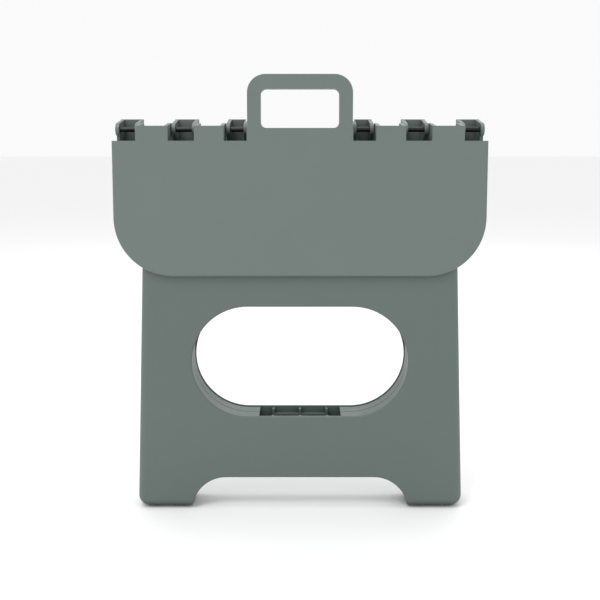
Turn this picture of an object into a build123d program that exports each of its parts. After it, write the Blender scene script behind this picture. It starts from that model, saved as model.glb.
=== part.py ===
"""Folding step stool, shown folded flat and standing on its feet.

Two seat halves hang from a common centre hinge, outside two leg panels. Each leg panel turns in
its seat half near the seat's long edge. Inside the legs, two spreader halves tie the panels
together. The front half of each pair lies at y < 0; the front seat half carries the handle.

Origin: middle of the footprint, on the floor. X is the width, Z is up.
"""

from build123d import *
import os

os.makedirs("parts", exist_ok=True)

# ---- Driving dimensions, millimetres ------------------------------------------------------
seat_width = 290.0
seat_half_depth = 114.7
seat_corner = 46.0
half_thickness = 20.0
wall = 2.6
middle_gap = 0.4

hinge_z = 305.3
link_reach = 97.3
link_offset = 9.0

leg_half_top = 124.8
leg_half_foot = 131.6
leg_face = 15.5
leg_flange_end = 0.6
foot_corner = 9.0
pad_height = 1.0
arch_z = 26.1
arch_flat = 59.5
foot_inner = 87.0

oval_half_width = 86.0
oval_bottom = 76.7
oval_top = 165.8

handle_half_width = 40.5
handle_top = 346.8
handle_corner = 14.0
handle_depth = 8.5
grip_half_width = 30.2
grip_bottom = 306.0
grip_top = 335.6
grip_corner = 4.5

pocket_half_width = 44.0
pocket_length = 45.2
pocket_corner = 18.0
pocket_depth = 9.0
tab_half_width = 27.8
tab_drop = 1.8
tab_length = 15.7
tab_corner = 3.5

pin_r = 2.0
hole_r = 2.05
seat_knuckle_r = 5.0
leg_barrel_r = 6.0
spreader_barrel_r = 3.6
spreader_knuckle_r = 4.4

spreader_half_width = 117.0
spreader_outer = 5.4
spreader_rim_depth = 12.0
hole_clear = 0.6
spreader_pivot_z = 56.0
spreader_notch_half = 33.0
spreader_notch_z = 66.0

leg_lug_r = 5.5
spreader_lug_r = 4.4

edge_round = 1.4
seat_edge_round = 2.2
leg_side_round = 7.0
rib = 1.8
seat_rib_depth = 6.5
leg_rib_depth = 5.2
bite = 0.5
finger_root = 12.0

# ---- Places worked out from them ----------------------------------------------------------
half_width = seat_width / 2
seat_bottom = hinge_z - seat_half_depth
leg_pivot_z = hinge_z - link_reach
spreader_hinge_z = spreader_pivot_z + link_reach
leg_top = leg_pivot_z - leg_barrel_r - 0.6
oval_height = oval_top - oval_bottom
oval_z = (oval_top + oval_bottom) / 2
leg_rim_end = oval_z + 33

# Fingers of the centre hinge, as (near, far) distances from the middle of the width.
back_fingers = [(127.0, 145.0), (82.0, 101.0), (41.5, 58.0)]
front_fingers = [(101.6, 126.4), (58.6, 81.4)]
back_finger_rise = 8.5
front_finger_rise = 2.4
finger_gap = 0.6
finger_wall = 2.8

# Leg pivots: one long barrel on the leg, between two lugs under the seat, each side.
leg_barrel_span = (66.0, 110.0)
leg_lugs = [(60.0, 65.6), (110.4, 116.0)]
# Spreader pivots: a barrel on the spreader, between two lugs inside the leg, each side.
spreader_barrel_span = (60.0, 100.0)
spreader_lugs = [(54.2, 59.6), (100.4, 105.8)]
# Spreader centre hinge: the front's two knuckles hold the back's one, each side.
front_knuckles = [(91.0, 98.8), (108.2, 116.0)]
back_knuckles = [(99.2, 107.8)]


def both_sides(spans):
    """The same spans to the right and to the left of the middle."""
    return [span for near, far in spans for span in ((near, far), (-far, -near))]


def leg_half_at(z):
    """The leg panel's half width at a height, between its sloping sides."""
    share = (leg_top - z) / (leg_top - pad_height)
    return leg_half_top + share * (leg_half_foot - leg_half_top)


def front_at(depth):
    """An upright plane that lies depth in front of the middle."""
    return Plane.XZ.offset(depth)


def add_box(x, y, z, mode=Mode.ADD):
    """A box given by its limits along each axis."""
    middle = [(low + high) / 2 for low, high in (x, y, z)]
    with Locations(tuple(middle)):
        Box(abs(x[1] - x[0]), abs(y[1] - y[0]), abs(z[1] - z[0]), mode=mode)


def add_rod(x, y, z, radius, mode=Mode.ADD):
    """A round bar along X between two limits."""
    with Locations(((x[0] + x[1]) / 2, y, z)):
        Cylinder(radius, abs(x[1] - x[0]), rotation=(0, 90, 0), mode=mode)


def seat_outline(plane, inset, top):
    """The seat half's plan: square at the hinge, round at the two outer corners."""
    side = half_width - inset
    bottom = seat_bottom + inset
    radius = seat_corner - inset
    with BuildSketch(plane) as outline:
        with BuildLine():
            Line((0, top), (side, top))
            Line((side, top), (side, bottom + radius))
            RadiusArc((side, bottom + radius), (side - radius, bottom), radius)
            Line((side - radius, bottom), (0, bottom))
            mirror(about=Plane.YZ)
        make_face()
    return outline.sketch


def leg_outline(plane, inset):
    """The leg panel's face: two feet, an arch, sloping sides and the carrying hole."""
    with BuildSketch(plane) as outline:
        with BuildLine():
            Line((0, arch_z), (arch_flat, arch_z))
            TangentArc((arch_flat, arch_z), (foot_inner, pad_height), tangent=(1, 0))
            Line((foot_inner, pad_height), (leg_half_foot, pad_height))
            Line((leg_half_foot, pad_height), (leg_half_top, leg_top))
            Line((leg_half_top, leg_top), (0, leg_top))
            mirror(about=Plane.YZ)
        make_face()
        feet = vertices().group_by(Axis.Y)[0].sort_by(Axis.X)
        fillet([feet[0], feet[-1]], foot_corner)
        if inset:
            offset(amount=-inset, kind=Kind.INTERSECTION, mode=Mode.REPLACE)
        oval(inset)
    return outline.sketch


def oval(grow, mode=Mode.SUBTRACT):
    """The carrying hole."""
    with Locations((0, oval_z)):
        SlotOverall(2 * (oval_half_width + grow), oval_height + 2 * grow, mode=mode)


def open_topped_oval(grow, mode):
    """The carrying hole with straight sides carried on upwards from its middle."""
    oval(grow, mode)
    with Locations((0, oval_z + oval_height / 2)):
        Rectangle(2 * (oval_half_width + grow), oval_height, mode=mode)


def hinge_finger_walls(spans, side, rise):
    """Two upright walls under each finger, rounded about the centre hinge."""
    for near, far in spans:
        for start in (near, far - finger_wall):
            with BuildSketch(Plane.YZ.offset(start)) as profile:
                with Locations((0, hinge_z)):
                    Circle(seat_knuckle_r)
                with BuildLine():
                    Polyline(
                        (side * (half_thickness - 1), hinge_z + rise),
                        (0, hinge_z + seat_knuckle_r),
                        (0, hinge_z - seat_knuckle_r),
                        (side * (half_thickness - 1), hinge_z - 20),
                        close=True,
                    )
                make_face()
            extrude(profile.sketch, amount=finger_wall)


def seat_shell():
    """The open tray that both seat halves start from, made as the front one."""
    outer = seat_outline(front_at(half_thickness), 0, hinge_z - middle_gap)
    extrude(outer, amount=-(half_thickness - middle_gap))
    fillet(faces().sort_by(Axis.Y)[0].edges(), seat_edge_round)
    inner = seat_outline(front_at(half_thickness - wall), wall, hinge_z)
    extrude(inner, amount=-half_thickness, mode=Mode.SUBTRACT)
    # The leg passes under the long edge, so the skirt there is shallow.
    leg_slot = leg_half_top + 3.4
    add_box((-leg_slot, leg_slot), (-leg_face - 0.5, 0), (seat_bottom - 1, leg_pivot_z), Mode.SUBTRACT)


def seat_ribs():
    """The stiffening grid under the seat."""
    low, high = leg_pivot_z + 9, hinge_z - 16
    rib_y = (-half_thickness + wall - bite, -half_thickness + wall + seat_rib_depth)
    for x in (-116, -92, -70, -47, -24, 0, 24, 47, 70, 92, 116):
        add_box((x - rib / 2, x + rib / 2), rib_y, (low, high))
    for z in (low + 1, (low + high) / 2 - 12, (low + high) / 2 + 12, high - 1):
        # Low ribs stop short of the rounded corners.
        reach = half_width - wall + bite - (6 if z < seat_bottom + seat_corner else 0)
        add_box((-reach, reach), rib_y, (z - rib / 2, z + rib / 2))


def seat_lugs():
    """The ears that hold the leg's pivot pins."""
    for near, far in both_sides(leg_lugs):
        add_rod((near, far), -link_offset, leg_pivot_z, leg_lug_r)
        add_box(
            (near, far),
            (-half_thickness + wall - bite, -link_offset),
            (leg_pivot_z - leg_lug_r, leg_pivot_z + leg_lug_r),
        )
        add_rod((near - 1, far + 1), -link_offset, leg_pivot_z, hole_r, Mode.SUBTRACT)


# ---- Seat halves --------------------------------------------------------------------------
with BuildPart() as seat_front:
    seat_shell()
    seat_ribs()
    seat_lugs()
    # Fingers stand up between the notches that take the back half's fingers.
    face_y = (-half_thickness, -half_thickness + wall)
    for near, far in both_sides(front_fingers):
        add_box((near, far), face_y, (hinge_z - finger_root, hinge_z + front_finger_rise))
    for near, far in both_sides(back_fingers):
        add_box(
            (near - finger_gap, far + finger_gap),
            (-half_thickness - 1, 0),
            (hinge_z - back_finger_rise - 0.6, hinge_z + 10),
            Mode.SUBTRACT,
        )
    hinge_finger_walls(both_sides(front_fingers), -1, front_finger_rise)
    # Carrying handle: a channel-section loop that carries the seat's face on upwards.
    with BuildSketch(front_at(half_thickness)):
        with Locations((0, (handle_top + hinge_z - 10) / 2)):
            Rectangle(2 * handle_half_width, handle_top - hinge_z + 10)
        fillet(vertices().group_by(Axis.Y)[-1], handle_corner)
    extrude(amount=-handle_depth)
    with BuildSketch(front_at(half_thickness - wall)):
        with Locations((0, (handle_top - wall + hinge_z - 7) / 2)):
            Rectangle(2 * (handle_half_width - wall), handle_top - wall - hinge_z + 7)
        fillet(vertices().group_by(Axis.Y)[-1], handle_corner - wall)
        with Locations((0, (grip_top + grip_bottom) / 2)):
            Rectangle(
                2 * (grip_half_width + wall),
                grip_top - grip_bottom + 2 * wall,
                mode=Mode.SUBTRACT,
            )
    extrude(amount=-handle_depth, mode=Mode.SUBTRACT)
    with BuildSketch(front_at(half_thickness + 1)):
        with Locations((0, (grip_top + grip_bottom) / 2)):
            RectangleRounded(2 * grip_half_width, grip_top - grip_bottom, grip_corner)
    extrude(amount=-handle_depth - 2, mode=Mode.SUBTRACT)
    add_rod((-half_width - 1, half_width + 1), 0, hinge_z, hole_r, Mode.SUBTRACT)

with BuildPart() as back_tray:
    seat_shell()
    seat_ribs()
    seat_lugs()

with BuildPart() as seat_back:
    mirror(back_tray.part, about=Plane.XZ)
    face_y = (half_thickness - wall, half_thickness)
    for near, far in both_sides(front_fingers):
        add_box(
            (near - finger_gap, far + finger_gap),
            (0, half_thickness + 1),
            (hinge_z - front_finger_rise - 0.6, hinge_z + 10),
            Mode.SUBTRACT,
        )
    for near, far in both_sides(back_fingers):
        add_box((near, far), face_y, (hinge_z - finger_root, hinge_z + back_finger_rise))
    hinge_finger_walls(both_sides(back_fingers), 1, back_finger_rise)
    # Pocket that the handle lies in when the stool is open, and the raised tab inside it.
    with BuildSketch(Plane.XZ.offset(-half_thickness)):
        with Locations((0, hinge_z - middle_gap - pocket_length / 2)):
            Rectangle(2 * (pocket_half_width + wall), pocket_length + wall)
        fillet(vertices().group_by(Axis.Y)[0], pocket_corner)
    extrude(amount=pocket_depth + wall)
    with BuildSketch(Plane.XZ.offset(-half_thickness - 1)):
        with Locations((0, hinge_z - pocket_length / 2 + 5)):
            Rectangle(2 * pocket_half_width, pocket_length + 10)
        fillet(vertices().group_by(Axis.Y)[0], pocket_corner - wall)
    extrude(amount=pocket_depth + 1, mode=Mode.SUBTRACT)
    with BuildSketch(Plane.XZ.offset(-half_thickness)):
        with Locations((0, hinge_z - tab_drop - tab_length / 2)):
            Rectangle(2 * tab_half_width, tab_length)
        fillet(vertices().group_by(Axis.Y)[0], tab_corner)
    extrude(amount=pocket_depth + 1)
    add_box(
        (-tab_half_width + wall, tab_half_width - wall),
        (half_thickness - pocket_depth - wall - 1, half_thickness - wall),
        (hinge_z - tab_drop - tab_length + wall, hinge_z - tab_drop - wall),
        Mode.SUBTRACT,
    )
    # Bore for the hinge pins, through every finger wall.
    add_rod((-half_width - 1, half_width + 1), 0, hinge_z, hole_r, Mode.SUBTRACT)

# ---- Leg panels ---------------------------------------------------------------------------
def round_leg_sides(radius):
    """Rounds the long sides of the front face, and the foot edges that run on from them."""
    straight = faces().sort_by(Axis.Y)[0].edges().filter_by(GeomType.LINE)
    outermost = [e for e in straight if abs(e.center().X) > foot_inner and e.length > leg_top / 2]
    fillet(outermost, radius)


with BuildPart() as leg_hollow:
    extrude(leg_outline(front_at(leg_face - wall), wall), amount=-leg_face)
    round_leg_sides(leg_side_round - wall)

with BuildPart() as leg_front:
    extrude(leg_outline(front_at(leg_face), 0), amount=-(leg_face - leg_flange_end))
    round_leg_sides(leg_side_round)
    sharp = [e for e in faces().sort_by(Axis.Y)[0].edges() if abs(e.center().X) < foot_inner + 8]
    fillet(sharp, edge_round)
    add(leg_hollow.part, mode=Mode.SUBTRACT)
    # The spreader lies against the legs' middle, so the hole's rim stops short of it.
    with BuildSketch(front_at(spreader_outer + 0.3)):
        oval(wall + 1, mode=Mode.ADD)
    extrude(amount=-leg_face, mode=Mode.SUBTRACT)
    # Below its middle the hole has no rim of its own; the spreader's rim lies close behind.
    with BuildSketch(front_at(leg_face - wall)):
        oval(wall + 1, mode=Mode.ADD)
        with Locations((0, leg_top)):
            Rectangle(seat_width, 2 * (leg_top - leg_rim_end), mode=Mode.SUBTRACT)
    extrude(amount=-leg_face, mode=Mode.SUBTRACT)
    # Ribs between the hole and the arch, and beside and above the hole.
    rib_y = (-leg_face + wall - bite, -leg_face + wall + leg_rib_depth)
    for x in (-44, -22, 0, 22, 44):
        # They break off where the spreader's lower edge swings through, and end below its rim.
        in_notch = abs(x) < spreader_notch_half
        add_box((x - rib / 2, x + rib / 2), rib_y, (arch_z + 1, spreader_pivot_z - 10))
        upper_end = oval_bottom - (1.2 if in_notch else 5)
        add_box((x - rib / 2, x + rib / 2), rib_y, (spreader_pivot_z - 2, upper_end))
    add_box((-22, 22), rib_y, (oval_bottom - 7, oval_bottom - 7 + rib))
    for x in (-88, -44, 0, 44, 88):
        add_box((x - rib / 2, x + rib / 2), rib_y, (oval_top - (11 if abs(x) > 80 else 0), leg_top - 1))
    for side in (-1, 1):
        for z in (20, 105, 135, 165):
            near, far = sorted((side * (oval_half_width + 4.5), side * (leg_half_at(z) - 2.4)))
            add_box((near, far), rib_y, (z - rib / 2, z + rib / 2))
    # Barrels that turn on the seat's pivot pins.
    for near, far in both_sides([leg_barrel_span]):
        add_rod((near, far), -link_offset, leg_pivot_z, leg_barrel_r)
        add_box((near, far), (-leg_face, -link_offset + 2), (leg_top - wall, leg_pivot_z))
        add_rod((near - 1, far + 1), -link_offset, leg_pivot_z, hole_r, Mode.SUBTRACT)
    # Lugs that hold the spreader's pivot pins.
    for near, far in both_sides(spreader_lugs):
        add_rod((near, far), -link_offset, spreader_pivot_z, spreader_lug_r)
        add_box(
            (near, far),
            (-leg_face + wall - bite, -link_offset),
            (spreader_pivot_z - spreader_lug_r, spreader_pivot_z + spreader_lug_r),
        )
        add_rod((near - 1, far + 1), -link_offset, spreader_pivot_z, hole_r, Mode.SUBTRACT)
    # Sockets for the foot pads' plugs.
    for side in (-1, 1):
        near, far = sorted((side * 99.95, side * 118.05))
        add_box((near, far), (-7.05, -2.95), (0, 6), Mode.SUBTRACT)

with BuildPart() as leg_back:
    mirror(leg_front.part, about=Plane.XZ)


# ---- Spreader halves ----------------------------------------------------------------------
def spreader_notch():
    """The break in the middle of the carrying hole's lower edge."""
    with Locations((0, spreader_notch_z + 10)):
        Rectangle(2 * spreader_notch_half, 20, mode=Mode.SUBTRACT)


def spreader_half(own_knuckles, other_knuckles):
    """One half of the spreader, as the front one, with its own share of the centre hinge."""
    outer, inner = spreader_outer, middle_gap
    bottom, top = spreader_pivot_z - 3, spreader_hinge_z - 0.5
    with BuildSketch(front_at(outer)) as plate:
        with Locations((0, (bottom + top) / 2)):
            Rectangle(2 * spreader_half_width, top - bottom)
        fillet(vertices().group_by(Axis.Y)[0], 6)
        open_topped_oval(hole_clear, Mode.SUBTRACT)
        spreader_notch()
    extrude(plate.sketch, amount=-(outer - inner))
    # A deep rim follows the carrying hole.
    with BuildSketch(front_at(spreader_rim_depth)) as rim:
        open_topped_oval(hole_clear + wall, Mode.ADD)
        open_topped_oval(hole_clear, Mode.SUBTRACT)
        spreader_notch()
        with Locations((0, (bottom + top) / 2)):
            Rectangle(2 * spreader_half_width, top - bottom, mode=Mode.INTERSECT)
    extrude(rim.sketch, amount=-(spreader_rim_depth - inner))
    # Shallow panels in the face next to the leg leave a rim all round.
    for side in (-1, 1):
        near, far = sorted((side * (oval_half_width + 5), side * (spreader_half_width - 3)))
        add_box((near, far), (-outer, -outer + 2.6), (90, spreader_hinge_z - 9), Mode.SUBTRACT)
    for near, far in both_sides([(36.0, 53.0), (61.0, 84.0)]):
        add_box((near, far), (-outer, -outer + 2.6), (62, 72), Mode.SUBTRACT)
    # Room for the leg's lugs.
    for near, far in both_sides(spreader_lugs):
        add_box((near - 0.4, far + 0.4), (-outer - 1, 0), (bottom - 1, spreader_pivot_z + 9), Mode.SUBTRACT)
    # Barrels on the pivot pins, joined to the plate by a foot.
    for near, far in both_sides([spreader_barrel_span]):
        add_rod((near, far), -link_offset, spreader_pivot_z, spreader_barrel_r)
        add_box((near, far), (-link_offset, -inner - 1), (bottom, spreader_pivot_z + 3))
        add_rod((near - 1, far + 1), -link_offset, spreader_pivot_z, hole_r, Mode.SUBTRACT)
    # Centre hinge.
    for near, far in both_sides(other_knuckles):
        add_box(
            (near - 0.4, far + 0.4),
            (-outer - 1, 0),
            (spreader_hinge_z - spreader_knuckle_r - 0.6, spreader_hinge_z + 1),
            Mode.SUBTRACT,
        )
    for near, far in both_sides(own_knuckles):
        add_rod((near, far), 0, spreader_hinge_z, spreader_knuckle_r)
        add_box(
            (near, far),
            (-spreader_knuckle_r, -inner),
            (spreader_hinge_z - spreader_knuckle_r - 2, spreader_hinge_z),
        )
        add_rod((near - 1, far + 1), 0, spreader_hinge_z, hole_r, Mode.SUBTRACT)


with BuildPart() as spreader_front:
    spreader_half(front_knuckles, back_knuckles)

with BuildPart() as back_half:
    spreader_half(back_knuckles, front_knuckles)

with BuildPart() as spreader_back:
    mirror(back_half.part, about=Plane.XZ)


# ---- Hinge pins and foot pads -------------------------------------------------------------
def pin(name, x, y, z):
    """A steel pin with slightly rounded ends."""
    with BuildPart() as steel_pin:
        add_rod(x, y, z, pin_r)
        fillet(edges().filter_by(GeomType.CIRCLE), 0.5)
    steel_pin.part.label = name
    return steel_pin.part


def foot_pad(name, side_x, side_y):
    """A soft pad under one foot, held by a plug in the foot's socket."""
    with BuildPart() as pad:
        near, far = sorted((side_x * 93, side_x * 124))
        front, back = sorted((side_y * 1.5, side_y * 8.2))
        add_box((near, far), (front, back), (0, pad_height))
        fillet(edges().filter_by(Axis.Z), 2.5)
        near, far = sorted((side_x * 100, side_x * 118))
        front, back = sorted((side_y * 3, side_y * 7))
        add_box((near, far), (front, back), (pad_height, 5.5))
    pad.part.label = name
    return pad.part


sides = {"left": -1, "right": 1}
ends = {"front": -1, "back": 1}
pieces = []
for name, tray in (
    ("seat_front", seat_front),
    ("seat_back", seat_back),
    ("leg_front", leg_front),
    ("leg_back", leg_back),
    ("spreader_front", spreader_front),
    ("spreader_back", spreader_back),
):
    tray.part.label = name
    pieces.append(tray.part)

for side_name, side in sides.items():
    span = sorted((side * 42.0, side * (half_width - 0.5)))
    pieces.append(pin(f"seat_hinge_pin_{side_name}", span, 0, hinge_z))
    span = sorted((side * 91.5, side * 115.5))
    pieces.append(pin(f"spreader_hinge_pin_{side_name}", span, 0, spreader_hinge_z))
    for end_name, end in ends.items():
        span = sorted((side * 60.5, side * 115.5))
        pieces.append(pin(f"leg_pin_{end_name}_{side_name}", span, end * link_offset, leg_pivot_z))
        span = sorted((side * 54.7, side * 105.3))
        pieces.append(
            pin(f"spreader_pin_{end_name}_{side_name}", span, end * link_offset, spreader_pivot_z)
        )
        pieces.append(foot_pad(f"foot_pad_{end_name}_{side_name}", side, end))

for piece in pieces:
    export_step(piece, f"parts/{piece.label}.step")
    print(piece.label, "solids", len(piece.solids()), "volume", round(piece.volume))
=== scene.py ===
import bmesh
import bpy
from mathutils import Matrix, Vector


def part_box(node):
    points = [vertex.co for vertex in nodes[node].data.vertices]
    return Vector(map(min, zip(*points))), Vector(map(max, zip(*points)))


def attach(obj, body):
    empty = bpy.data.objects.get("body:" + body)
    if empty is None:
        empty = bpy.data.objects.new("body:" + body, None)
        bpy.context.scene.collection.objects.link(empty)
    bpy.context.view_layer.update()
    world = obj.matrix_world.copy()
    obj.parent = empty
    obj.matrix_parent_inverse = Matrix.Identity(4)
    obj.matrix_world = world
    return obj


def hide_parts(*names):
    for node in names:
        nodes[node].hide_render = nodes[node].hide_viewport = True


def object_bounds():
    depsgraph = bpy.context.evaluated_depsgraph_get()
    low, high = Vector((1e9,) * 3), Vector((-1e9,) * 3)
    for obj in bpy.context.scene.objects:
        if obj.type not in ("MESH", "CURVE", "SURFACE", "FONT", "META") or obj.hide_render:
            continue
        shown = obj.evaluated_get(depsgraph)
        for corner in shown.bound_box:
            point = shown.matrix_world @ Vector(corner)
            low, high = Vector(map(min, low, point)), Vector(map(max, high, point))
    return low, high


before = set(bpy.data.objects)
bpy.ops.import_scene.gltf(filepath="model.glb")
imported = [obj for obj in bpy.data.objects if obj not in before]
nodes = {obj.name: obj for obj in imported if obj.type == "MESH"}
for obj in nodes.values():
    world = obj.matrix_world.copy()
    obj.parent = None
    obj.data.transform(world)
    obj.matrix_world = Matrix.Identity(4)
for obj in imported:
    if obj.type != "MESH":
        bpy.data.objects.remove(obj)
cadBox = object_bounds()
print("frame loaded,", len(nodes), "nodes")


def deselectAll():
    for item in bpy.context.selected_objects:
        item.select_set(False)
    bpy.context.view_layer.objects.active = None


def makeActive(item):
    deselectAll()
    item.select_set(True)
    bpy.context.view_layer.objects.active = item


def newGroup(name, inputs, outputs):
    # inputs and outputs are lists of (name, socket type, value)
    group = bpy.data.node_groups.new(name, "ShaderNodeTree")
    for label, kind, value in inputs:
        socket = group.interface.new_socket(name=label, in_out="INPUT", socket_type=kind)
        if value is not None:
            socket.default_value = value
    for label, kind in outputs:
        group.interface.new_socket(name=label, in_out="OUTPUT", socket_type=kind)
    return group


def addNode(tree, kind, place, **settings):
    made = tree.nodes.new(kind)
    made.location = place
    for key, value in settings.items():
        setattr(made, key, value)
    return made


mouldGrainLook = {
    "detail": 2.0,
    "noiseRoughness": 0.6,
    "pitDepth": 0.35,
}


def grainGroup():
    # fine spark-eroded grain: a height for a Bump node
    group = newGroup(
        "mouldGrain",
        [("Vector", "NodeSocketVector", None), ("Scale", "NodeSocketFloat", 900.0)],
        [("Height", "NodeSocketFloat")],
    )
    links = group.links
    start = addNode(group, "NodeGroupInput", (-700, 0))
    fine = addNode(group, "ShaderNodeTexNoise", (-460, 120))
    fine.inputs["Detail"].default_value = mouldGrainLook["detail"]
    fine.inputs["Roughness"].default_value = mouldGrainLook["noiseRoughness"]
    pits = addNode(group, "ShaderNodeTexVoronoi", (-460, -160), feature="SMOOTH_F1")
    mixed = addNode(group, "ShaderNodeMath", (-180, 0), operation="MULTIPLY_ADD")
    mixed.inputs[1].default_value = mouldGrainLook["pitDepth"]
    end = addNode(group, "NodeGroupOutput", (60, 0))
    links.new(start.outputs["Vector"], fine.inputs["Vector"])
    links.new(start.outputs["Scale"], fine.inputs["Scale"])
    links.new(start.outputs["Vector"], pits.inputs["Vector"])
    links.new(start.outputs["Scale"], pits.inputs["Scale"])
    links.new(pits.outputs["Distance"], mixed.inputs[0])
    links.new(fine.outputs["Fac"], mixed.inputs[2])
    links.new(mixed.outputs["Value"], end.inputs["Height"])
    return group


mottleLook = {
    "cloudScale": 14.0,
    "cloudDetail": 3.0,
    "flowScale": 40.0,
    "flowDetail": 4.0,
    "flowDistortion": 1.2,
    "middle": 1.0,  # the two noises add up to about this
}


def mottleGroup():
    # slow cloudy change of shade, as pigment gives in a thick moulding, plus faint flow lines
    group = newGroup(
        "pigmentMottle",
        [
            ("Vector", "NodeSocketVector", None),
            ("Colour", "NodeSocketColor", (0.5, 0.5, 0.5, 1)),
            ("Amount", "NodeSocketFloat", 0.06),
        ],
        [("Colour", "NodeSocketColor")],
    )
    links = group.links
    start = addNode(group, "NodeGroupInput", (-900, 0))
    cloud = addNode(group, "ShaderNodeTexNoise", (-660, 160))
    cloud.inputs["Scale"].default_value = mottleLook["cloudScale"]
    cloud.inputs["Detail"].default_value = mottleLook["cloudDetail"]
    flow = addNode(group, "ShaderNodeTexNoise", (-660, -140))
    flow.inputs["Scale"].default_value = mottleLook["flowScale"]
    flow.inputs["Detail"].default_value = mottleLook["flowDetail"]
    flow.inputs["Distortion"].default_value = mottleLook["flowDistortion"]
    both = addNode(group, "ShaderNodeMath", (-420, 0), operation="ADD")
    centred = addNode(group, "ShaderNodeMath", (-240, 0), operation="SUBTRACT")
    centred.inputs[1].default_value = mottleLook["middle"]
    scaled = addNode(group, "ShaderNodeMath", (-60, 0), operation="MULTIPLY")
    gain = addNode(group, "ShaderNodeMath", (120, 0), operation="ADD")
    gain.inputs[1].default_value = 1.0
    tinted = addNode(group, "ShaderNodeVectorMath", (300, 60), operation="SCALE")
    end = addNode(group, "NodeGroupOutput", (500, 0))
    links.new(start.outputs["Vector"], cloud.inputs["Vector"])
    links.new(start.outputs["Vector"], flow.inputs["Vector"])
    links.new(cloud.outputs["Fac"], both.inputs[0])
    links.new(flow.outputs["Fac"], both.inputs[1])
    links.new(both.outputs["Value"], centred.inputs[0])
    links.new(centred.outputs["Value"], scaled.inputs[0])
    links.new(start.outputs["Amount"], scaled.inputs[1])
    links.new(scaled.outputs["Value"], gain.inputs[0])
    links.new(start.outputs["Colour"], tinted.inputs[0])
    links.new(gain.outputs["Value"], tinted.inputs["Scale"])
    links.new(tinted.outputs["Vector"], end.inputs["Colour"])
    return group


edgeWearAndHighlightLook = {
    "rounding": 0.0011,
    "startsAt": 0.985,  # how far the true and the rounded normals agree
    "fullAt": 0.86,
    "patchScale": 85.0,
    "patchDetail": 5.0,
    "patchLow": 0.35,
    "patchHigh": 0.7,
    "leastWear": 0.25,
    "polish": -0.08,
    "samples": 6,
}


def edgeWearAndHighlightGroup():
    # edges that hands and floors rub: smoother where the surface turns sharply, and lighter there,
    # partly as wear and partly as a painted highlight
    group = newGroup(
        "rubbedEdgesAndHighlight",
        [
            ("Vector", "NodeSocketVector", None),
            ("Colour", "NodeSocketColor", (0.5, 0.5, 0.5, 1)),
            ("Lift", "NodeSocketFloat", 0.2),
            ("Roughness", "NodeSocketFloat", 0.5),
        ],
        [("Colour", "NodeSocketColor"), ("Roughness", "NodeSocketFloat")],
    )
    links = group.links
    start = addNode(group, "NodeGroupInput", (-1000, 0))
    rounded = addNode(group, "ShaderNodeBevel", (-1200, -200), samples=edgeWearAndHighlightLook["samples"])
    rounded.inputs["Radius"].default_value = edgeWearAndHighlightLook["rounding"]
    shape = addNode(group, "ShaderNodeNewGeometry", (-1200, -360))
    agree = addNode(group, "ShaderNodeVectorMath", (-980, -240), operation="DOT_PRODUCT")
    sharp = addNode(group, "ShaderNodeMapRange", (-760, -200))
    sharp.inputs["From Min"].default_value = edgeWearAndHighlightLook["startsAt"]
    sharp.inputs["From Max"].default_value = edgeWearAndHighlightLook["fullAt"]
    patchy = addNode(group, "ShaderNodeTexNoise", (-760, 120))
    patchy.inputs["Scale"].default_value = edgeWearAndHighlightLook["patchScale"]
    patchy.inputs["Detail"].default_value = edgeWearAndHighlightLook["patchDetail"]
    patch = addNode(group, "ShaderNodeMapRange", (-560, 120))
    patch.inputs["From Min"].default_value = edgeWearAndHighlightLook["patchLow"]
    patch.inputs["From Max"].default_value = edgeWearAndHighlightLook["patchHigh"]
    patch.inputs["To Min"].default_value = edgeWearAndHighlightLook["leastWear"]
    mask = addNode(group, "ShaderNodeMath", (-360, 0), operation="MULTIPLY")
    amount = addNode(group, "ShaderNodeMath", (-180, 0), operation="MULTIPLY_ADD")
    amount.inputs[2].default_value = 1.0
    lifted = addNode(group, "ShaderNodeVectorMath", (20, 80), operation="SCALE")
    worn = addNode(group, "ShaderNodeMath", (-180, -200), operation="MULTIPLY_ADD")
    worn.inputs[1].default_value = edgeWearAndHighlightLook["polish"]
    end = addNode(group, "NodeGroupOutput", (240, 0))
    links.new(rounded.outputs["Normal"], agree.inputs[0])
    links.new(shape.outputs["Normal"], agree.inputs[1])
    links.new(agree.outputs["Value"], sharp.inputs["Value"])
    links.new(start.outputs["Vector"], patchy.inputs["Vector"])
    links.new(patchy.outputs["Fac"], patch.inputs["Value"])
    links.new(sharp.outputs["Result"], mask.inputs[0])
    links.new(patch.outputs["Result"], mask.inputs[1])
    links.new(mask.outputs["Value"], amount.inputs[0])
    links.new(start.outputs["Lift"], amount.inputs[1])
    links.new(start.outputs["Colour"], lifted.inputs[0])
    links.new(amount.outputs["Value"], lifted.inputs["Scale"])
    links.new(mask.outputs["Value"], worn.inputs[0])
    links.new(start.outputs["Roughness"], worn.inputs[2])
    links.new(lifted.outputs["Vector"], end.inputs["Colour"])
    links.new(worn.outputs["Value"], end.inputs["Roughness"])
    return group


scuffLook = {
    "scratchStretch": (26.0, 26.0, 210.0),
    "scratchTurn": (0.0, 0.5, 0.0),
    "scratchScale": 1.0,
    "scratchDetail": 6.0,
    "scratchLow": 0.58,
    "scratchHigh": 0.72,
    "scratchDepth": 0.07,
    "smearScale": 9.0,
    "smearDetail": 4.0,
    "smearLow": -0.04,
    "smearHigh": 0.05,
}


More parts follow.
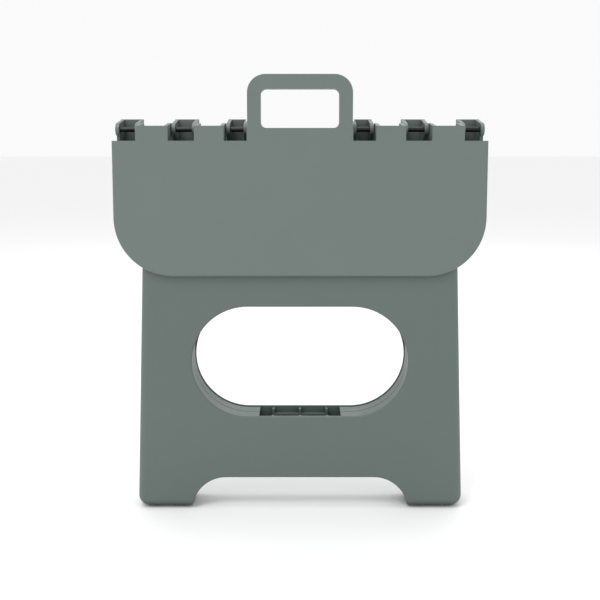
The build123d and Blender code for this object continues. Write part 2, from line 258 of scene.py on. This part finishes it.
def scuffGroup():
    # sparse fine scratches and dull smears: a small change of roughness
    group = newGroup(
        "scuffs",
        [("Vector", "NodeSocketVector", None), ("Roughness", "NodeSocketFloat", 0.5)],
        [("Roughness", "NodeSocketFloat")],
    )
    links = group.links
    start = addNode(group, "NodeGroupInput", (-900, 0))
    stretch = addNode(group, "ShaderNodeMapping", (-700, 120))
    stretch.inputs["Scale"].default_value = scuffLook["scratchStretch"]
    stretch.inputs["Rotation"].default_value = scuffLook["scratchTurn"]
    scratch = addNode(group, "ShaderNodeTexNoise", (-500, 120))
    scratch.inputs["Scale"].default_value = scuffLook["scratchScale"]
    scratch.inputs["Detail"].default_value = scuffLook["scratchDetail"]
    thin = addNode(group, "ShaderNodeMapRange", (-300, 120))
    thin.inputs["From Min"].default_value = scuffLook["scratchLow"]
    thin.inputs["From Max"].default_value = scuffLook["scratchHigh"]
    thin.inputs["To Max"].default_value = scuffLook["scratchDepth"]
    smear = addNode(group, "ShaderNodeTexNoise", (-500, -160))
    smear.inputs["Scale"].default_value = scuffLook["smearScale"]
    smear.inputs["Detail"].default_value = scuffLook["smearDetail"]
    dull = addNode(group, "ShaderNodeMapRange", (-300, -160))
    dull.inputs["To Min"].default_value = scuffLook["smearLow"]
    dull.inputs["To Max"].default_value = scuffLook["smearHigh"]
    both = addNode(group, "ShaderNodeMath", (-100, 0), operation="ADD")
    total = addNode(group, "ShaderNodeMath", (80, 0), operation="ADD")
    end = addNode(group, "NodeGroupOutput", (260, 0))
    links.new(start.outputs["Vector"], stretch.inputs["Vector"])
    links.new(stretch.outputs["Vector"], scratch.inputs["Vector"])
    links.new(scratch.outputs["Fac"], thin.inputs["Value"])
    links.new(start.outputs["Vector"], smear.inputs["Vector"])
    links.new(smear.outputs["Fac"], dull.inputs["Value"])
    links.new(thin.outputs["Result"], both.inputs[0])
    links.new(dull.outputs["Result"], both.inputs[1])
    links.new(both.outputs["Value"], total.inputs[0])
    links.new(start.outputs["Roughness"], total.inputs[1])
    links.new(total.outputs["Value"], end.inputs["Roughness"])
    return group


paintedShadeLook = {
    "openShare": 0.8,  # no painted shade where more than this share is open
    "shutShare": 0.15,
    "samples": 6,
}


def paintedShadeGroup():
    # painted shade: the colour is darkened in corners, hinge pockets and under lips, where shade
    # falls
    group = newGroup(
        "cornerPaintedShade",
        [
            ("Colour", "NodeSocketColor", (0.5, 0.5, 0.5, 1)),
            ("Amount", "NodeSocketFloat", 0.5),
            ("Reach", "NodeSocketFloat", 0.012),
        ],
        [("Colour", "NodeSocketColor")],
    )
    links = group.links
    start = addNode(group, "NodeGroupInput", (-900, 0))
    near = addNode(group, "ShaderNodeAmbientOcclusion", (-660, -120), samples=paintedShadeLook["samples"])
    shut = addNode(group, "ShaderNodeMapRange", (-440, -120))
    shut.inputs["From Min"].default_value = paintedShadeLook["openShare"]
    shut.inputs["From Max"].default_value = paintedShadeLook["shutShare"]
    gone = addNode(group, "ShaderNodeMath", (-240, -60), operation="MULTIPLY")
    left = addNode(group, "ShaderNodeMath", (-60, -60), operation="SUBTRACT")
    left.inputs[0].default_value = 1.0
    tinted = addNode(group, "ShaderNodeVectorMath", (120, 40), operation="SCALE")
    end = addNode(group, "NodeGroupOutput", (320, 0))
    links.new(start.outputs["Reach"], near.inputs["Distance"])
    links.new(near.outputs["AO"], shut.inputs["Value"])
    links.new(shut.outputs["Result"], gone.inputs[0])
    links.new(start.outputs["Amount"], gone.inputs[1])
    links.new(gone.outputs["Value"], left.inputs[1])
    links.new(start.outputs["Colour"], tinted.inputs[0])
    links.new(left.outputs["Value"], tinted.inputs["Scale"])
    links.new(tinted.outputs["Vector"], end.inputs["Colour"])
    return group


grain = grainGroup()
mottle = mottleGroup()
rubbedAndHighlight = edgeWearAndHighlightGroup()
scuffs = scuffGroup()
paintedShade = paintedShadeGroup()
print("node groups made")


def blankMaterial(name):
    made = bpy.data.materials.new(name)
    made.use_nodes = True
    tree = made.node_tree
    tree.nodes.clear()
    out = addNode(tree, "ShaderNodeOutputMaterial", (600, 0))
    shader = addNode(tree, "ShaderNodeBsdfPrincipled", (300, 0))
    place = addNode(tree, "ShaderNodeTexCoord", (-900, 0))
    tree.links.new(shader.outputs["BSDF"], out.inputs["Surface"])
    return made, tree, shader, place.outputs["Object"]


def placeGroup(tree, group, place, **values):
    made = addNode(tree, "ShaderNodeGroup", place, node_tree=group)
    for key, value in values.items():
        made.inputs[key].default_value = value
    return made


def addBump(tree, shader, where, look):
    height = placeGroup(tree, grain, (-300, -360), Scale=look["grainScale"])
    bump = addNode(tree, "ShaderNodeBump", (0, -300))
    bump.inputs["Strength"].default_value = look["grainStrength"]
    bump.inputs["Distance"].default_value = look["grainHeight"]
    tree.links.new(where, height.inputs["Vector"])
    tree.links.new(height.outputs["Height"], bump.inputs["Height"])
    tree.links.new(bump.outputs["Normal"], shader.inputs["Normal"])


sagePlastic = {
    "seat": (0.12, 0.151, 0.14),
    # the legs are the seat's plastic set darker: painted shade for the legs under the seat's lip
    "leg": (0.096, 0.126, 0.116),
    "spreader": (0.108, 0.138, 0.127),
    "roughness": 0.47,
    "ior": 1.49,
    "mottle": 0.07,
    "grainScale": 950.0,
    "grainStrength": 0.09,
    "grainHeight": 0.0004,
    # lighter sharp edges: partly wear, partly a painted highlight
    "edgeWearAndHighlightLift": 0.3,
    # darkening near other surfaces: painted shade in corners and under the seat's lip
    "paintedShade": 0.72,
    "paintedShadeReach": 0.012,
}


def plasticMaterial(name, colour):
    made, tree, shader, where = blankMaterial(name)
    links = tree.links
    cloudy = placeGroup(
        tree, mottle, (-600, 160), Colour=(*colour, 1), Amount=sagePlastic["mottle"]
    )
    smeared = placeGroup(tree, scuffs, (-600, -120), Roughness=sagePlastic["roughness"])
    edges = placeGroup(tree, rubbedAndHighlight, (-300, 100), Lift=sagePlastic["edgeWearAndHighlightLift"])
    for group in (cloudy, smeared, edges):
        links.new(where, group.inputs["Vector"])
    links.new(cloudy.outputs["Colour"], edges.inputs["Colour"])
    links.new(smeared.outputs["Roughness"], edges.inputs["Roughness"])
    # painted shade: the colour is darkened where other surfaces are near
    paintedShadeNode = placeGroup(
        tree, paintedShade, (0, 160), Amount=sagePlastic["paintedShade"], Reach=sagePlastic["paintedShadeReach"]
    )
    links.new(edges.outputs["Colour"], paintedShadeNode.inputs["Colour"])
    links.new(paintedShadeNode.outputs["Colour"], shader.inputs["Base Color"])
    links.new(edges.outputs["Roughness"], shader.inputs["Roughness"])
    addBump(tree, shader, where, sagePlastic)
    shader.inputs["IOR"].default_value = sagePlastic["ior"]
    return made


pinSteel = {
    "colour": (0.032, 0.035, 0.035),
    "roughness": 0.34,
    "smoother": 0.06,
    "rougher": 0.1,
    "mottle": 0.25,
    "turningScale": 2600.0,
    "turningDistortion": 1.5,
}


def steelMaterial():
    made, tree, shader, where = blankMaterial("blackenedSteel")
    links = tree.links
    turning = addNode(tree, "ShaderNodeTexWave", (-600, -100), bands_direction="X")
    turning.inputs["Scale"].default_value = pinSteel["turningScale"]
    turning.inputs["Distortion"].default_value = pinSteel["turningDistortion"]
    spread = addNode(tree, "ShaderNodeMapRange", (-300, -60))
    spread.inputs["To Min"].default_value = pinSteel["roughness"] - pinSteel["smoother"]
    spread.inputs["To Max"].default_value = pinSteel["roughness"] + pinSteel["rougher"]
    cloudy = placeGroup(
        tree, mottle, (-600, 160), Colour=(*pinSteel["colour"], 1), Amount=pinSteel["mottle"]
    )
    links.new(where, turning.inputs["Vector"])
    links.new(where, cloudy.inputs["Vector"])
    links.new(turning.outputs["Fac"], spread.inputs["Value"])
    links.new(spread.outputs["Result"], shader.inputs["Roughness"])
    links.new(cloudy.outputs["Colour"], shader.inputs["Base Color"])
    shader.inputs["Metallic"].default_value = 1.0
    return made


padRubber = {
    "colour": (0.045, 0.05, 0.049),
    "roughness": 0.78,
    "mottle": 0.2,
    "edgeWearAndHighlightLift": 0.5,
    "grainScale": 1500.0,
    "grainStrength": 0.15,
    "grainHeight": 0.0003,
}


def rubberMaterial():
    made, tree, shader, where = blankMaterial("footRubber")
    links = tree.links
    cloudy = placeGroup(
        tree, mottle, (-600, 160), Colour=(*padRubber["colour"], 1), Amount=padRubber["mottle"]
    )
    edges = placeGroup(
        tree, rubbedAndHighlight, (-300, 100), Lift=padRubber["edgeWearAndHighlightLift"], Roughness=padRubber["roughness"]
    )
    links.new(where, cloudy.inputs["Vector"])
    links.new(where, edges.inputs["Vector"])
    links.new(cloudy.outputs["Colour"], edges.inputs["Colour"])
    links.new(edges.outputs["Colour"], shader.inputs["Base Color"])
    links.new(edges.outputs["Roughness"], shader.inputs["Roughness"])
    addBump(tree, shader, where, padRubber)
    return made


seatMaterial = plasticMaterial("sagePlasticSeat", sagePlastic["seat"])
# the leg material's darker colour is painted shade
legMaterialPaintedShade = plasticMaterial("sagePlasticLegPaintedShade", sagePlastic["leg"])
spreaderMaterial = plasticMaterial("sagePlasticSpreader", sagePlastic["spreader"])
pinMaterial = steelMaterial()
padMaterial = rubberMaterial()


def dress(item, material):
    if not item.material_slots:
        item.data.materials.append(material)
    for slot in item.material_slots:
        slot.material = material


for name, item in nodes.items():
    if "pin" in name:
        dress(item, pinMaterial)
    elif name.startswith("seat_"):
        dress(item, seatMaterial)
    elif name.startswith("leg_"):
        dress(item, legMaterialPaintedShade)
    elif name.startswith("spreader_"):
        dress(item, spreaderMaterial)
    else:
        dress(item, padMaterial)
print("materials on the moulded parts and pins")


padTread = {
    "grooves": 7,
    "grooveWidth": 0.0014,
    "grooveDepth": 0.0005,
    "grooveOverrun": 0.002,  # cutters stand this far out at the sides
    "grooveDrop": 0.001,  # and this far below the sole
    "soleHeight": 0.001,
    "corner": 0.0025,
    "cornerSegments": 6,
    "plugShare": 0.56,
    "plugSink": 0.0002,
    "plugCorner": 0.0006,
    "plugSegments": 3,
    "edge": 0.00012,
    "edgeSegments": 2,
    "edgeAngle": 0.7,
    "smoothAngle": 0.6,
    "levelWithin": 0.0003,  # an edge that rises more than this is an upright one
}


def addBlock(low, high):
    # a block between two corners, with its scale applied
    deselectAll()
    bpy.ops.mesh.primitive_cube_add(size=1.0, location=tuple((low + high) / 2))
    block = bpy.context.active_object
    block.scale = tuple(high - low)
    bpy.ops.object.transform_apply(location=True, rotation=True, scale=True)
    return block


def bevelEdges(item, width, segments, wanted):
    # bevels only the edges that the wanted test picks
    makeActive(item)
    bpy.ops.object.mode_set(mode="EDIT")
    bpy.ops.mesh.select_all(action="DESELECT")
    mesh = bmesh.from_edit_mesh(item.data)
    for edge in mesh.edges:
        first, second = (corner.co for corner in edge.verts)
        edge.select_set(wanted(first, second))
    bmesh.update_edit_mesh(item.data)
    bpy.ops.mesh.bevel(offset=width, segments=segments, profile=0.5, affect="EDGES")
    bpy.ops.object.mode_set(mode="OBJECT")


def upright(first, second):
    return abs(first.z - second.z) > padTread["levelWithin"]


def useBoolean(item, tool, operation):
    makeActive(item)
    change = item.modifiers.new("change", "BOOLEAN")
    change.operation = operation
    change.solver = "EXACT"
    change.object = tool
    bpy.ops.object.modifier_apply(modifier=change.name)
    bpy.data.objects.remove(tool, do_unlink=True)


def joinAll(items):
    deselectAll()
    for item in items:
        item.select_set(True)
    bpy.context.view_layer.objects.active = items[0]
    bpy.ops.object.join()
    return bpy.context.active_object


def makePad(nodeName):
    # a rubber foot: rounded sole with grooves across it, and a plug that sits in the leg's socket
    low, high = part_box(nodeName)
    soleTop = low.z + padTread["soleHeight"]
    sole = addBlock(low, Vector((high.x, high.y, soleTop)))
    sole.name = nodeName + "_tread"
    bevelEdges(sole, padTread["corner"], padTread["cornerSegments"], upright)
    middle = (low + high) / 2
    length = high.x - low.x
    overrun = padTread["grooveOverrun"]
    half = padTread["grooveWidth"] / 2
    cutters = []
    for index in range(padTread["grooves"]):
        x = low.x + length * (index + 1) / (padTread["grooves"] + 1)
        cutters.append(
            addBlock(
                Vector((x - half, low.y - overrun, low.z - padTread["grooveDrop"])),
                Vector((x + half, high.y + overrun, low.z + padTread["grooveDepth"])),
            )
        )
    useBoolean(sole, joinAll(cutters), "DIFFERENCE")
    plugHalfX = length * padTread["plugShare"] / 2
    plugHalfY = (high.y - low.y) * padTread["plugShare"] / 2
    plugBase = soleTop - padTread["plugSink"]
    plug = addBlock(
        Vector((middle.x - plugHalfX, middle.y - plugHalfY, plugBase)),
        Vector((middle.x + plugHalfX, middle.y + plugHalfY, high.z)),
    )
    bevelEdges(plug, padTread["plugCorner"], padTread["plugSegments"], upright)
    useBoolean(sole, plug, "UNION")
    makeActive(sole)
    bpy.ops.object.mode_set(mode="EDIT")
    bpy.ops.mesh.select_all(action="SELECT")
    bpy.ops.mesh.normals_make_consistent(inside=False)
    bpy.ops.object.mode_set(mode="OBJECT")
    soften = sole.modifiers.new("soften", "BEVEL")
    soften.width = padTread["edge"]
    soften.segments = padTread["edgeSegments"]
    soften.limit_method = "ANGLE"
    soften.angle_limit = padTread["edgeAngle"]
    bpy.ops.object.modifier_apply(modifier=soften.name)
    bpy.ops.object.shade_smooth_by_angle(angle=padTread["smoothAngle"])
    dress(sole, padMaterial)
    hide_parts(nodeName)
    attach(sole, "leg_front" if "front" in nodeName else "leg_back")


for name in [name for name in nodes if name.startswith("foot_pad_")]:
    makePad(name)
print("treaded foot pads made")


studio = {
    "floor": 60.0,
    "floorColour": (0.93, 0.93, 0.93),
    "floorRoughness": 0.7,
    "skyColour": (1, 1, 1),
    "skyStrength": 0.96,
}
softboxes = {
    "keySoftbox": {
        "place": (-0.5, -0.8, 1.5), "aim": (0, 0, 0.24), "size": (0.5, 0.5), "power": 8.0
    },
    "fillSoftbox": {
        "place": (1.3, -1.0, 0.9), "aim": (0, 0, 0.2), "size": (1.2, 1.2), "power": 0.5
    },
    "topSoftbox": {
        "place": (0, 0.1, 1.6), "aim": (0, 0, 0.2), "size": (1.0, 1.0), "power": 6.0
    },
    "backSoftbox": {
        "place": (0.3, 1.5, 1.0), "aim": (0, 0, 0.2), "size": (1.0, 1.0), "power": 2.0
    },
}


def makeFloor():
    bpy.ops.mesh.primitive_plane_add(size=studio["floor"], location=(0, 0, 0))
    floor = bpy.context.active_object
    floor.name = "studioFloor"
    made, _, shader, _ = blankMaterial("paleFloor")
    shader.inputs["Base Color"].default_value = (*studio["floorColour"], 1)
    shader.inputs["Roughness"].default_value = studio["floorRoughness"]
    dress(floor, made)


def areaLight(name, place, aim, size, power):
    data = bpy.data.lights.new(name, "AREA")
    data.shape = "RECTANGLE"
    data.size, data.size_y = size
    data.energy = power
    lamp = bpy.data.objects.new(name, data)
    bpy.context.scene.collection.objects.link(lamp)
    lamp.location = place
    lamp.rotation_euler = (Vector(aim) - Vector(place)).to_track_quat("-Z", "Y").to_euler()


def makeWorld():
    world = bpy.data.worlds.new("paleStudio")
    bpy.context.scene.world = world
    world.use_nodes = True
    back = world.node_tree.nodes["Background"]
    back.inputs["Color"].default_value = (*studio["skyColour"], 1)
    back.inputs["Strength"].default_value = studio["skyStrength"]


frontCamera = {
    "distance": 0.62,
    "height": 0.29,
    "frameWidth": 0.463,
    "shift": -0.115,
    "sensor": 36.0,
}


def makeCamera():
    low, high = cadBox
    middle = (low + high) / 2
    data = bpy.data.cameras.new("frontCamera")
    data.sensor_width = frontCamera["sensor"]
    data.lens = frontCamera["sensor"] * frontCamera["distance"] / frontCamera["frameWidth"]
    data.shift_y = frontCamera["shift"]
    camera = bpy.data.objects.new("frontCamera", data)
    bpy.context.scene.collection.objects.link(camera)
    camera.location = (0, low.y - frontCamera["distance"], frontCamera["height"])
    aim = Vector((0, low.y, middle.z - frontCamera["shift"] * frontCamera["frameWidth"]))
    camera.rotation_euler = (aim - camera.location).to_track_quat("-Z", "Y").to_euler()
    bpy.context.scene.camera = camera


makeFloor()
makeWorld()
for name, box in softboxes.items():
    areaLight(name, box["place"], box["aim"], box["size"], box["power"])
makeCamera()
scene = bpy.context.scene
scene.view_settings.view_transform = "Standard"
print("studio ready")
